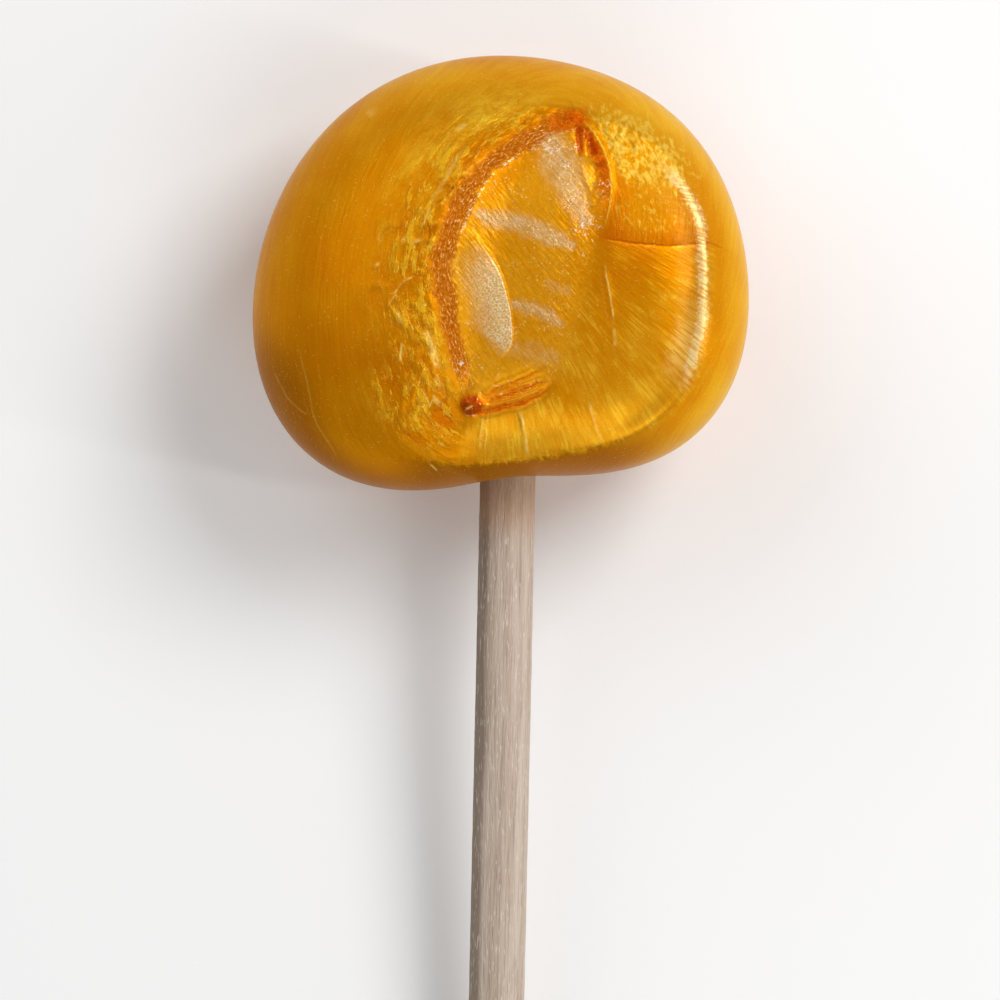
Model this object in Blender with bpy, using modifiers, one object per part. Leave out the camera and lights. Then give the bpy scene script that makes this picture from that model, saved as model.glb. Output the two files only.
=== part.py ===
"""A hand-rolled lollipop lying on its back: a pebble of pulled sugar with a cut scar on its face, on a wooden stick.

Every size below is in millimetres and is turned into Blender's metres when the meshes are made.

Two frames are used. The head frame has u to the right across the face, v up to the crown and w out of the face,
and its origin is in the middle of the head. The row frame has the lollipop lying down, with +Z up, the stick in
the X = 0 plane and pointing to -Y, and its origin on the flat spot that the head rests on.
"""

import math

import bmesh
import bpy
import numpy as np
from mathutils import Matrix, Vector

MM = 0.001

# The stick, a turned birch dowel.
STICK_RADIUS = 2.25
STICK_LENGTH = 100.0
STICK_BURIED = 22.0
STICK_CHAMFER = 0.35
STICK_SIDES = 48
STICK_OFFSET = 1.03
STICK_LEAN = math.radians(1.25)
FIT_GAP = 0.3

# The head. Its outline is a circle with lobes, each given as its height and the direction of one of its peaks.
HEAD_RADIUS = 18.91
HEAD_LOBES = ((0.39, -90.0), (1.41, 9.3), (0.89, -25.1), (0.54, -43.3), (0.14, 25.1))
FACE_DEPTH = 13.4
BACK_DEPTH = 13.8
REST_HEIGHT = 13.2
SOFT_ROUNDNESS = 2.1
SQUARE_ROUNDNESS = 3.6
SQUARE_DIRECTION = math.radians(-45.0)
BACK_ROUNDNESS = 2.3

# The mesh of the head: its pole lies on the scar, and its rings crowd towards the face.
HEAD_SEGMENTS = 108
HEAD_RINGS = 44
RING_CROWDING = 0.65
SCAR_STRETCH = 1.45
SCAR_REACH = math.radians(75.0)

# The shoulder where the face turns over into the side, as a closed curve through points on the face. Inside it
# the face is pressed in. It is crisp at the right and at the foot, and fades out to the left between two u.
SHOULDER = (
    (0.0, 13.6), (7.0, 13.0), (13.4, 9.8), (16.3, 3.9), (16.7, -1.5), (15.4, -8.2), (10.4, -13.0), (2.0, -14.9),
    (-6.0, -15.0), (-12.5, -12.0), (-15.0, 0.0), (-9.0, 11.0), (0.0, 13.6),
)
SHOULDER_HEIGHT = 0.25
SHOULDER_WIDTH = 1.1
HOLLOW_DEPTH = 0.9
HOLLOW_REACH = 3.5
HOLLOW_FADE = (-10.0, -3.5)

# The scar, where the head was cut off its rope: an oval floor, with torn and folded creases along its edge.
SCAR_CENTRE = (2.0, 1.2)
SCAR_HALF_SIZE = (12.2, 5.9)
SCAR_DIRECTION = math.radians(70.0)
SCAR_SINK = 0.25
WALL_DROP = 0.85
WALL_WIDTH = 1.5
LIP_HEIGHT = 0.45
LEFT_CREASE = (
    (7.0, 12.6), (4.6, 12.1), (1.7, 10.7), (-1.3, 8.4), (-3.7, 4.5), (-4.6, 0.3), (-3.9, -4.2), (-3.1, -7.5),
    (-2.3, -10.3),
)
RIGHT_CREASE = ((6.4, 12.5), (7.8, 10.2), (8.5, 8.0), (8.4, 5.4), (7.9, 3.2))
FOOT_CREASE = ((-2.3, -10.3), (0.5, -10.4), (3.3, -9.4), (5.0, -7.8))
UPPER_FOOT_CREASE = ((-1.2, -9.6), (1.8, -9.1), (4.6, -7.3))
FLAKE_EDGE = ((-2.8, 4.4), (-1.0, 2.4), (0.1, 0.0), (0.85, -2.8), (1.0, -5.4), (0.6, -6.8))
FLAKE_HEIGHT = 0.3
FOOT_DENT = (-3.9, -11.2)

# The dimple round the stick in the underside.
DIMPLE_RADIUS = 4.6
DIMPLE_DEPTH = 1.3


def smooth_step(x):
    """Rises smoothly from 0 to 1 as x does."""
    x = np.clip(x, 0.0, 1.0)
    return x * x * (3.0 - 2.0 * x)


def smooth_curve(controls, steps=24):
    """Points along the Catmull-Rom curve through the controls, which is closed if the last one is the first."""
    c = np.array(controls, float)
    if np.array_equal(c[0], c[-1]):
        c = np.vstack([c[-2], c, c[1]])
    else:
        c = np.vstack([2.0 * c[0] - c[1], c, 2.0 * c[-1] - c[-2]])
    t = np.linspace(0.0, 1.0, steps, endpoint=False)[:, None]
    spans = []
    for p0, p1, p2, p3 in zip(c[:-3], c[1:-2], c[2:-1], c[3:]):
        spans.append(
            0.5 * (2.0 * p1 + (p2 - p0) * t + (2.0 * p0 - 5.0 * p1 + 4.0 * p2 - p3) * t**2
                   + (3.0 * p1 - p0 - 3.0 * p2 + p3) * t**3)
        )
    return np.vstack([*spans, c[-2][None, :]])


def near_curve(uv, controls):
    """How far each point of the face lies from a curve, as (signed distance, share of the way along).

    The distance is positive to the left of someone walking along the curve.
    """
    line = smooth_curve(controls)
    away = uv[:, None, :] - line[None, :, :]
    nearest = np.argmin((away**2).sum(2), axis=1)
    rows = np.arange(len(uv))
    tangent = np.gradient(line, axis=0)
    tangent /= np.linalg.norm(tangent, axis=1)[:, None]
    to_point, along = away[rows, nearest], tangent[nearest]
    side = along[:, 0] * to_point[:, 1] - along[:, 1] * to_point[:, 0]
    distance = np.linalg.norm(to_point, axis=1) * np.where(side < 0.0, -1.0, 1.0)
    return distance, nearest / (len(line) - 1.0)


def hump(distance, width):
    """1 on a line, falling to nothing a couple of widths away."""
    return np.exp(-((distance / width) ** 2))


def oval_radius(uv, centre, half_size, direction=0.0):
    """0 at an oval's centre and 1 on its edge. Its first half size lies along direction."""
    away = uv - np.array(centre)
    c, s = math.cos(direction), math.sin(direction)
    along = away[:, 0] * c + away[:, 1] * s
    across = away[:, 1] * c - away[:, 0] * s
    return np.hypot(along / half_size[0], across / half_size[1])


def outline_radius(angle):
    """The head's outline, seen square to its face."""
    lobes = enumerate(HEAD_LOBES, start=1)
    return HEAD_RADIUS + sum(
        height * np.cos(order * (angle - math.radians(peak))) for order, (height, peak) in lobes
    )


def pebble(directions):
    """The plain rounded head, in the head frame: where a ray from its middle leaves it."""
    angle = np.arctan2(directions[:, 1], directions[:, 0])
    across = np.hypot(directions[:, 0], directions[:, 1])
    towards = directions[:, 2]
    squareness = smooth_step(0.5 + 0.5 * np.cos(angle - SQUARE_DIRECTION)) * smooth_step(across * 3.0)
    face_roundness = SOFT_ROUNDNESS + (SQUARE_ROUNDNESS - SOFT_ROUNDNESS) * squareness
    roundness = np.where(towards > 0.0, face_roundness, BACK_ROUNDNESS)
    depth = np.where(towards > 0.0, FACE_DEPTH, BACK_DEPTH)
    reach = (across / outline_radius(angle)) ** roundness + (np.abs(towards) / depth) ** roundness
    return directions * (reach ** (-1.0 / roundness))[:, None]


def groove(distance, outer_width, inner_width):
    """Like hump, with a width of its own on each side of the line."""
    return hump(distance, np.where(distance < 0.0, outer_width, inner_width))


def hollow_relief(uv):
    """The shoulder round the face, and the hollow inside it."""
    outside, _ = near_curve(uv, SHOULDER)
    fade = smooth_step((uv[:, 0] - HOLLOW_FADE[0]) / (HOLLOW_FADE[1] - HOLLOW_FADE[0]))
    inside = np.maximum(-outside, 0.0)
    sunk = 1.0 - np.exp(-inside / HOLLOW_REACH)
    return fade * (SHOULDER_HEIGHT * hump(outside, SHOULDER_WIDTH) - HOLLOW_DEPTH * sunk)


def scar_relief(uv):
    """The scar's floor, the creases round it and the lips that stand up outside them."""
    scar = oval_radius(uv, SCAR_CENTRE, SCAR_HALF_SIZE, SCAR_DIRECTION)
    relief = -SCAR_SINK * smooth_step((1.15 - scar) / 0.35)

    left, share = near_curve(uv, LEFT_CREASE)
    ends = smooth_step(share * 8.0) * smooth_step((1.0 - share) * 8.0)
    down_wall = smooth_step(0.5 + left / WALL_WIDTH)
    floor_rise = hump(np.maximum(left - WALL_WIDTH / 2.0, 0.0), 3.2)
    relief -= WALL_DROP * ends * down_wall * floor_rise
    relief += LIP_HEIGHT * ends * hump(left + 1.5, 1.0)

    right, share = near_curve(uv, RIGHT_CREASE)
    fade = smooth_step((1.0 - share) * 1.8)
    relief -= 0.6 * fade * hump(right, 0.85)
    relief += 0.4 * fade * hump(right - 1.3, 0.8)

    foot, share = near_curve(uv, FOOT_CREASE)
    fade = smooth_step((1.0 - share) * 2.0)
    relief -= 0.6 * fade * groove(foot, 0.6, 0.9)
    relief += 0.3 * fade * hump(foot + 1.1, 0.7)

    upper_foot, share = near_curve(uv, UPPER_FOOT_CREASE)
    relief -= 0.25 * smooth_step((1.0 - share) * 2.0) * hump(upper_foot, 0.6)
    return relief


def face_relief(uv):
    """How far the face stands above the plain pebble, by its place on the face."""
    flake, share = near_curve(uv, FLAKE_EDGE)
    on_flake = smooth_step(0.5 - flake / 0.3) * hump(flake, 2.6) * hump(share - 0.5, 0.4)
    dent = oval_radius(uv, FOOT_DENT, (1.9, 1.5))
    return hollow_relief(uv) + scar_relief(uv) + FLAKE_HEIGHT * on_flake - 0.35 * hump(dent, 1.0)


def stick_dimple(points):
    """How far the underside is drawn up round the stick."""
    stick_u = STICK_OFFSET + points[:, 1] * math.tan(STICK_LEAN)
    away = np.hypot(points[:, 0] - stick_u, points[:, 2])
    below = smooth_step(-points[:, 1] / 8.0)
    return DIMPLE_DEPTH * below * smooth_step((DIMPLE_RADIUS - away) / DIMPLE_RADIUS)


def head_points(directions):
    """The head's surface, in the head frame, for unit directions from its middle."""
    points = pebble(directions)
    facing = smooth_step((points[:, 2] / FACE_DEPTH - 0.1) / 0.35)
    points[:, 2] += face_relief(points[:, :2]) * facing
    points[:, 1] += stick_dimple(points)
    return points


def buried_end():
    """Where the stick's buried end lies, as v in the stick's own direction."""
    return -(outline_radius(np.array([-math.pi / 2.0]))[0]) + STICK_BURIED


def resting_tilt():
    """The angle at which the stick's far end just touches what the head rests on."""
    reach = STICK_LENGTH - buried_end()
    return math.asin(REST_HEIGHT / math.hypot(reach, STICK_RADIUS)) - math.atan(STICK_RADIUS / reach)


def head_to_row():
    """The head frame's place in the row frame, in millimetres."""
    lift = Matrix.Translation((-STICK_OFFSET, 0.0, REST_HEIGHT))
    return lift @ Matrix.Rotation(resting_tilt(), 4, "X") @ Matrix.Rotation(STICK_LEAN, 4, "Z")


def stick_to_row():
    """The stick's own frame in the row frame: it lies along -Y, its buried end at buried_end."""
    lift = Matrix.Translation((0.0, 0.0, REST_HEIGHT))
    return lift @ Matrix.Rotation(resting_tilt(), 4, "X")


def new_material(name, colour, roughness):
    material = bpy.data.materials.new(name)
    material.use_nodes = True
    shader = material.node_tree.nodes["Principled BSDF"]
    shader.inputs["Base Color"].default_value = (*colour, 1.0)
    shader.inputs["Roughness"].default_value = roughness
    shader.inputs["Metallic"].default_value = 0.0
    return material


def new_collection(name):
    collection = bpy.data.collections.new(name)
    bpy.context.scene.collection.children.link(collection)
    return collection


def round_bar(name, radius, near, far, sides, collection):
    """A round bar along -Y from y = near to y = far, in the stick's own frame, placed in the row frame."""
    bm = bmesh.new()
    bmesh.ops.create_cone(
        bm, cap_ends=True, segments=sides, radius1=radius, radius2=radius, depth=near - far,
        matrix=Matrix.Translation((0.0, (near + far) / 2.0, 0.0)) @ Matrix.Rotation(math.pi / 2.0, 4, "X"),
    )
    bm.transform(Matrix.Scale(MM, 4) @ stick_to_row())
    mesh = bpy.data.meshes.new(name)
    bm.to_mesh(mesh)
    bm.free()
    bar = bpy.data.objects.new(name, mesh)
    collection.objects.link(bar)
    return bar


def crowd_to_scar(sphere):
    """Moves a sphere's points over it, so that its pole and closest rings lie round the scar and along its creases."""
    share = np.arccos(np.clip(sphere[:, 2], -1.0, 1.0)) / math.pi
    polar = math.pi * (share + RING_CROWDING * share * (share - 1.0))
    angle = np.arctan2(sphere[:, 1], sphere[:, 0])
    stretch = 1.0 + (SCAR_STRETCH - 1.0) * smooth_step(1.0 - polar / SCAR_REACH)
    along = np.sin(polar) * np.cos(angle) * stretch
    across = np.sin(polar) * np.sin(angle) / stretch
    c, s = math.cos(SCAR_DIRECTION), math.sin(SCAR_DIRECTION)
    crowded = np.stack([along * c - across * s, along * s + across * c, np.cos(polar)], axis=1)
    crowded /= np.linalg.norm(crowded, axis=1)[:, None]
    scar_axis = Vector((*SCAR_CENTRE, FACE_DEPTH)).normalized()
    turn = np.array(Vector((0.0, 0.0, 1.0)).rotation_difference(scar_axis).to_matrix())
    return crowded @ turn.T


def make_head(collection):
    """The head as one solid: a sphere whose points are moved out to the pebble, with its flat resting spot."""
    bm = bmesh.new()
    bmesh.ops.create_uvsphere(bm, u_segments=HEAD_SEGMENTS, v_segments=HEAD_RINGS, radius=1.0)
    points = head_points(crowd_to_scar(np.array([v.co for v in bm.verts])))

    place = np.array(head_to_row())
    placed = points @ place[:3, :3].T + place[:3, 3]
    placed[:, 2] = np.maximum(placed[:, 2], 0.0)
    for vertex, co in zip(bm.verts, placed * MM):
        vertex.co = co
    mesh = bpy.data.meshes.new("candy_head")
    bm.to_mesh(mesh)
    bm.free()
    mesh.shade_smooth()
    mesh.materials.append(new_material("pulled_sugar", (0.60, 0.27, 0.01), 0.35))
    head = bpy.data.objects.new("candy_head", mesh)
    collection.objects.link(head)
    return head


def bore_head(head, cutters):
    """Cuts the blind hole that the stick sits in."""
    cutter = round_bar(
        "stick_bore", STICK_RADIUS + FIT_GAP, buried_end() + FIT_GAP, buried_end() - 2.0 * STICK_BURIED,
        STICK_SIDES, cutters,
    )
    cutter.hide_render = True
    cutter.display_type = "WIRE"
    bore = head.modifiers.new("stick_bore", "BOOLEAN")
    bore.operation = "DIFFERENCE"
    bore.object = cutter
    bore.solver = "EXACT"


def make_stick(collection):
    """The dowel, with its ends broken by a small chamfer."""
    stick = round_bar(
        "stick", STICK_RADIUS, buried_end(), buried_end() - STICK_LENGTH, STICK_SIDES, collection
    )
    stick.data.shade_smooth()
    stick.data.set_sharp_from_angle(angle=math.radians(40.0))
    stick.data.materials.append(new_material("birch", (0.60, 0.50, 0.42), 0.7))
    ends = stick.modifiers.new("broken_ends", "BEVEL")
    ends.width = STICK_CHAMFER * MM
    ends.segments = 2
    ends.limit_method = "ANGLE"
    ends.angle_limit = math.radians(40.0)
    return stick


def main():
    for old in list(bpy.data.objects):
        bpy.data.objects.remove(old)
    lollipop = new_collection("lollipop")
    cutters = new_collection("cutters")
    head = make_head(lollipop)
    bore_head(head, cutters)
    make_stick(lollipop)


main()
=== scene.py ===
"""The lollipop's looks: satin pulled sugar with a torn and folded scar, on a birch dowel, in soft light.

Lengths are in millimetres until the meshes are made. The head frame has u to the right across the face, v up
to the crown and w out of the face, from the middle of the head. The row frame is the model's own.
"""

import math

import bpy
import numpy as np
from mathutils import Matrix, Vector


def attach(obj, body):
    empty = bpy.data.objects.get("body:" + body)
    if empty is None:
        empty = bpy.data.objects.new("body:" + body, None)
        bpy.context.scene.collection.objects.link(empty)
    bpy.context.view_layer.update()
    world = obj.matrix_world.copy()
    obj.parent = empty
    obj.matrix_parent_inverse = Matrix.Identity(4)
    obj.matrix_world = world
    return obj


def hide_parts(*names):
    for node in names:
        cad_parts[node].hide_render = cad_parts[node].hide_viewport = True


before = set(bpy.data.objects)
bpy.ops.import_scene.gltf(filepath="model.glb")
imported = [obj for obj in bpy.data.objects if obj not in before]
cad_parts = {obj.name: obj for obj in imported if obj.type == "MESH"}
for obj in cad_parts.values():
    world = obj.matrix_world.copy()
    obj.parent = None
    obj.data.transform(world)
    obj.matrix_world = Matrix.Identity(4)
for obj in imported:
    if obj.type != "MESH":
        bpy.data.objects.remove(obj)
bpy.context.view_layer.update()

MM = 0.001

# The stick, its mesh and where it sits.
STICK_RADIUS = 2.25
STICK_CHAMFER = 0.35
STICK_SEGMENTS = 96
STICK_RINGS = 300
STICK_LENGTH = 100.0
STICK_BURIED = 22.0
STICK_OFFSET = 1.03
STICK_LEAN = math.radians(1.25)
REST_HEIGHT = 13.2

# The head's plain form.
HEAD_RADIUS = 18.91
HEAD_LOBES = ((0.39, -90.0), (1.41, 9.3), (0.89, -25.1), (0.54, -43.3), (0.14, 25.1))
FACE_DEPTH = 13.4
BACK_DEPTH = 13.8
SOFT_ROUNDNESS = 2.1
SQUARE_ROUNDNESS = 3.6
SQUARE_DIRECTION = math.radians(-45.0)
BACK_ROUNDNESS = 2.3

# The mesh of the head: its pole lies on the scar, and its rings crowd towards the face.
HEAD_SEGMENTS = 480
HEAD_RINGS = 206
RING_CROWDING = 0.82
SCAR_STRETCH = 1.45
SCAR_REACH = math.radians(75.0)

# The shoulder where the face turns over into the side, and the hollow inside it.
SHOULDER = (
    (0.0, 13.6), (7.0, 13.0), (13.4, 9.8), (16.3, 3.9), (16.7, -1.5), (15.4, -8.2), (10.4, -13.0), (2.0, -14.9),
    (-6.0, -15.0), (-12.5, -12.0), (-15.0, 0.0), (-9.0, 11.0), (0.0, 13.6),
)
SHOULDER_HEIGHT = 0.32
SHOULDER_WIDTH = 0.9
HOLLOW_DEPTH = 0.9
HOLLOW_REACH = 3.5
HOLLOW_FADE = (-8.5, -3.5)
HOLLOW_LEAN = 0.26

# The scar and its creases.
SCAR_CENTRE = (2.0, 1.2)
SCAR_HALF_SIZE = (12.2, 5.9)
SCAR_DIRECTION = math.radians(70.0)
SCAR_SINK = 0.18
RING_HALF_SIZE = (13.5, 9.5)
WALL_DROP = 0.52
WALL_WIDTH = 2.0
LIP_HEIGHT = 0.1
RIGHT_DROP = 0.42
LEFT_CREASE = (
    (6.6, 12.7), (5.0, 12.3), (3.0, 11.3), (1.3, 10.4), (-0.6, 9.2), (-1.9, 7.6), (-3.1, 5.6), (-3.9, 3.6),
    (-4.5, 1.4), (-4.5, -0.8), (-4.1, -3.0), (-3.7, -4.8), (-3.2, -6.8), (-2.8, -8.4), (-2.3, -10.3),
)
# The torn band along that crease: shares of the way along, and half the width there.
TORN_HALF_WIDTH = ((0.0, 0.1, 0.35, 0.5, 0.75, 1.0), (0.7, 0.8, 0.75, 0.85, 0.8, 0.65))
RIGHT_LIP = (
    (6.8, 12.5), (7.6, 11.5), (8.4, 10.1), (8.9, 8.5), (9.0, 7.2), (8.9, 5.8), (8.55, 4.2), (8.15, 3.1),
)
LOWER_BORDER = ((7.85, 1.25), (7.45, -0.75), (6.9, -2.75), (6.3, -4.55), (5.65, -6.15), (5.0, -7.9))
FINGERS = (((6.3, 12.2), (6.4, 11.2), (6.5, 10.2), (6.7, 9.3)), ((7.2, 11.3), (7.4, 10.4), (7.8, 9.6)))
# The creases at the scar's foot, lowest first: points, depth, the height of the lip beside it, and redness.
FOOT_CREASES = (
    (
        ((-1.9, -11.0), (-0.4, -10.8), (0.6, -10.5), (1.6, -10.3), (2.9, -9.7), (3.9, -9.0), (4.9, -8.0)),
        0.32, 0.2, 1.0,
    ),
    (((-1.2, -10.1), (-0.3, -9.8), (0.9, -9.45), (2.5, -8.9), (3.7, -8.5), (4.7, -8.1)), 0.28, 0.16, 0.8),
    (((-1.3, -9.7), (0.0, -9.05), (1.65, -8.4), (3.2, -7.7), (4.2, -7.1)), 0.2, 0.1, 0.6),
)
FLAKE_EDGE = (
    (-2.5, 4.4), (-1.5, 2.8), (-0.6, 1.5), (0.1, 0.2), (0.6, -1.4), (0.95, -3.0), (1.05, -5.0), (0.7, -6.0),
    (-0.1, -6.8),
)
FLAKE_HEIGHT = 0.24
FOOT_DENT = (-3.9, -11.2)
DENT_DEPTH = 0.35
KNOT = (-2.2, -10.4)
KNOT_HEIGHT = 0.5
CRACK = ((8.2, 3.1), (10.0, 2.8), (12.1, 2.55), (13.8, 2.45), (16.0, 2.6), (16.9, 2.6), (19.0, 1.7))
CRACK_DEPTH = 0.05
SIDE_CREASE = ((9.2, 6.9), (10.5, 7.1), (11.6, 7.6), (13.7, 8.0))
SIDE_CREASE_DEPTH = 0.035

# Ovals on the face, each as a centre, two half sizes and the direction of the first: the beaten patch, a
# weaker one below it, the wrinkled patch at the scar's foot, and the deep orange tip of the scar.
BEATEN_PATCH = ((11.1, 10.1), (5.6, 2.8), math.radians(-35.0))
LOWER_BEATEN_PATCH = ((12.0, 5.4), (4.2, 3.2))
FOOT_WRINKLES = ((-5.6, -10.9), (6.3, 3.6), math.radians(-30.0))
SCAR_TIP = ((5.5, 12.5), (2.1, 0.95), math.radians(12.0))
DAB_HEIGHT = 0.08
FOLD_HEIGHT = 0.25
# The ways that the sugar was pulled on the scar's floor and on the beaten patch: a cosine and a sine.
FLOOR_PULL = (0.77, 0.64)
DAB_PULL = (0.94, 0.34)

# Painted reflections of the lamps, as pale bands on the scar's floor: points along the middle, half the widths
# along it, and the strength.
PAINTED_REFLECTION_BANDS = (
    (
        ((4.2, 10.9), (4.6, 9.6), (5.3, 8.2), (5.9, 6.9), (6.3, 5.7), (6.9, 4.4)),
        (1.1, 1.6, 1.6, 1.3, 1.0, 0.6), 1.0,
    ),
    (
        ((-1.6, 5.0), (-0.6, 4.6), (0.9, 4.45), (2.6, 3.9), (4.5, 3.0), (5.7, 2.5)),
        (0.5, 0.85, 0.95, 0.9, 0.85, 0.5), 1.0,
    ),
    (((1.1, -2.2), (2.4, -2.6), (3.7, -3.1), (4.7, -3.7)), (0.4, 0.65, 0.7, 0.45), 0.9),
    (((1.2, -5.8), (2.9, -6.2), (4.4, -6.6)), (0.7, 1.0, 0.7), 0.35),
    (((3.9, -0.5), (5.3, -1.2)), (0.4, 0.5), 0.35),
)
# Spots of painted glints on the torn sugar, which is smoother there: a centre and a radius.
GLINT_SPOTS = (
    ((4.0, 10.6), 0.9), ((5.9, 10.4), 0.5), ((5.4, 8.9), 0.55), ((8.3, 7.2), 0.6), ((5.5, 5.8), 0.5),
    ((6.9, 4.0), 0.9), ((-2.3, -11.0), 0.4), ((1.0, -4.2), 0.5), ((-3.0, -7.3), 0.6),
)
# Thin raised lines, painted pale along them as painted highlights: points, half the width, and the strength.
PAINTED_HIGHLIGHT_LINES = (
    (((-5.5, 6.0), (-4.6, 7.3), (-3.8, 8.7), (-2.9, 10.1)), 0.2, 0.4),
    (((-2.65, -10.75), (-2.2, -10.45)), 0.13, 1.0),
    (((-8.6, -1.7), (-7.7, -0.5), (-6.9, -0.05)), 0.1, 0.55),
    (((-8.2, -1.2), (-9.05, -2.6)), 0.09, 0.5),
    (((-8.15, -2.9), (-7.95, -3.9)), 0.2, 0.9),
    (((-7.85, -5.4), (-8.0, -6.9)), 0.12, 0.9),
    (((-6.1, -9.1), (-5.5, -10.8)), 0.08, 0.8),
    (((-5.5, -9.7), (-4.7, -10.4)), 0.25, 1.0),
    (((-6.0, -4.4), (-5.5, -5.8), (-4.9, -7.5)), 0.3, 0.8),
    (((-5.2, -8.1), (-4.6, -8.9)), 0.22, 0.8),
    (((-5.6, -15.1), (-5.0, -15.7)), 0.1, 0.8),
    (((-7.8, 2.8), (-7.6, 2.95)), 0.2, 0.9),
    (((-6.9, 2.6), (-6.3, 2.9)), 0.16, 0.8),
    (((-9.9, 0.7), (-9.7, 1.0)), 0.15, 0.7),
    (((-6.3, 3.8), (-5.9, 4.9), (-5.4, 5.4)), 0.12, 0.7),
    (((-10.6, 12.9), (-9.9, 13.3)), 0.4, 0.35),
    (((-3.6, 11.6), (-2.7, 12.2)), 0.25, 0.5),
    (((1.6, -10.7), (1.95, -12.3), (2.3, -14.5)), 0.16, 0.9),
    (((-1.35, -11.1), (-1.5, -12.5), (-1.6, -14.2)), 0.08, 0.6),
    (((-0.9, -10.9), (-1.05, -12.6), (-1.15, -14.4)), 0.07, 0.55),
    (((7.1, -10.1), (7.6, -11.6), (8.1, -13.1)), 0.16, 0.5),
    (((8.5, 0.9), (8.7, -0.5), (9.0, -2.2), (9.25, -3.7)), 0.1, 0.9),
    (((9.2, -4.2), (9.3, -5.7)), 0.17, 0.55),
    (((-18.1, -7.8), (-16.9, -10.0), (-15.0, -11.6)), 0.09, 0.2),
    (((-16.2, -5.7), (-15.5, -8.4), (-14.9, -11.4), (-13.9, -13.2), (-12.9, -14.8)), 0.09, 0.22),
)
# Thin sunken lines, in the same way, painted dark along them as painted shade.
DARK_LINES = (
    (((-5.6, 5.6), (-4.6, 6.1), (-3.8, 7.0), (-2.8, 8.1)), 0.09, 0.8),
    (((-5.8, 2.3), (-5.6, 3.6), (-5.9, 4.5)), 0.08, 0.7),
    (((-5.7, 0.8), (-5.4, -0.6), (-4.9, -1.6)), 0.08, 0.5),
)
LINE_HEIGHT = 0.12
LINE_DEPTH = 0.16
# The crest of the shoulder at the right, painted pale along it as a painted highlight.
RIDGE = (
    (12.6, 9.6), (14.3, 7.9), (15.7, 5.8), (16.35, 4.0), (16.5, 0.5), (16.5, -3.0), (16.1, -5.2), (15.4, -7.7),
    (14.6, -9.8),
)
# Where the fibres beyond the scar run out from.
FAN_CENTRE = (-2.4, 9.3)

# Where the camera looks, how far away it is, and how wide its frame is there.
VIEW_CENTRE = (0.04, -18.05)
VIEW_DISTANCE = 450.0
VIEW_WIDTH = 80.386

# The dimple round the stick in the underside.
DIMPLE_RADIUS = 4.6
DIMPLE_DEPTH = 1.3

# The studio, in metres and watts: the floor's side, the strength of the light from all round, what the lamps
# look at, and each lamp's name, place, size and power.
FLOOR_SIDE = 6.0
WORLD_STRENGTH = 0.22
LIGHT_AIM = (0.0, 0.0, 0.012)
LIGHTS = (
    ("key", (0.31, 0.22, 0.48), (0.28, 0.28), 1.9),
    ("strip", (0.50, -0.12, 0.30), (0.03, 0.80), 0.9),
    ("foot", (0.12, -0.45, 0.40), (0.40, 0.30), 0.75),
    ("crown", (-0.40, 0.30, 0.45), (0.60, 0.60), 1.35),
)


def ease(x):
    """Rises smoothly from 0 to 1 as x does."""
    x = np.clip(x, 0.0, 1.0)
    return x * x * (3.0 - 2.0 * x)


def hump(distance, width):
    """1 on a line, falling to nothing a couple of widths away."""
    return np.exp(-((distance / width) ** 2))


def between(x, low, high):
    """Rises smoothly from 0 to 1 as x goes from low to high."""
    return ease((x - low) / (high - low))


def nearby(distance):
    """1 on a line and next to it, and 0 from 2 mm away."""
    return between(np.abs(distance), 2.0, 1.4)


def fade_ends(share, start, end):
    """0 at both ends of a curve and 1 between them. It rises sooner where start or end is larger."""
    return ease(share * start) * ease((1.0 - share) * end)


def noise(x, y, seed=0.0):
    """Smooth repeatable noise from about -1 to 1, with one wave to a unit."""
    left, below = np.floor(x), np.floor(y)
    fx, fy = x - left, y - below
    ease_x = fx**3 * (fx * (fx * 6.0 - 15.0) + 10.0)
    ease_y = fy**3 * (fy * (fy * 6.0 - 15.0) + 10.0)
    total = 0.0
    for i in (0, 1):
        for j in (0, 1):
            chance = np.sin((left + i) * 127.1 + (below + j) * 311.7 + seed * 74.7) * 43758.5453
            angle = 2.0 * math.pi * (chance - np.floor(chance))
            slope = np.cos(angle) * (fx - i) + np.sin(angle) * (fy - j)
            total = total + slope * (ease_x if i else 1.0 - ease_x) * (ease_y if j else 1.0 - ease_y)
    return 1.4 * total


def crests(x, y, seed=0.0):
    """Noise with sharp crests at 1 between soft valleys."""
    return 1.0 - 2.0 * np.abs(noise(x, y, seed))


def smooth_curve(controls, steps=24):
    """Points along the Catmull-Rom curve through the controls, closed if the last one is the first."""
    c = np.array(controls, float)
    if np.array_equal(c[0], c[-1]):
        c = np.vstack([c[-2], c, c[1]])
    else:
        c = np.vstack([2.0 * c[0] - c[1], c, 2.0 * c[-1] - c[-2]])
    t = np.linspace(0.0, 1.0, steps, endpoint=False)[:, None]
    spans = []
    for p0, p1, p2, p3 in zip(c[:-3], c[1:-2], c[2:-1], c[3:]):
        spans.append(
            0.5 * (2.0 * p1 + (p2 - p0) * t + (2.0 * p0 - 5.0 * p1 + 4.0 * p2 - p3) * t**2
                   + (3.0 * p1 - p0 - 3.0 * p2 + p3) * t**3)
        )
    return np.vstack([*spans, c[-2][None, :]])


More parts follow.
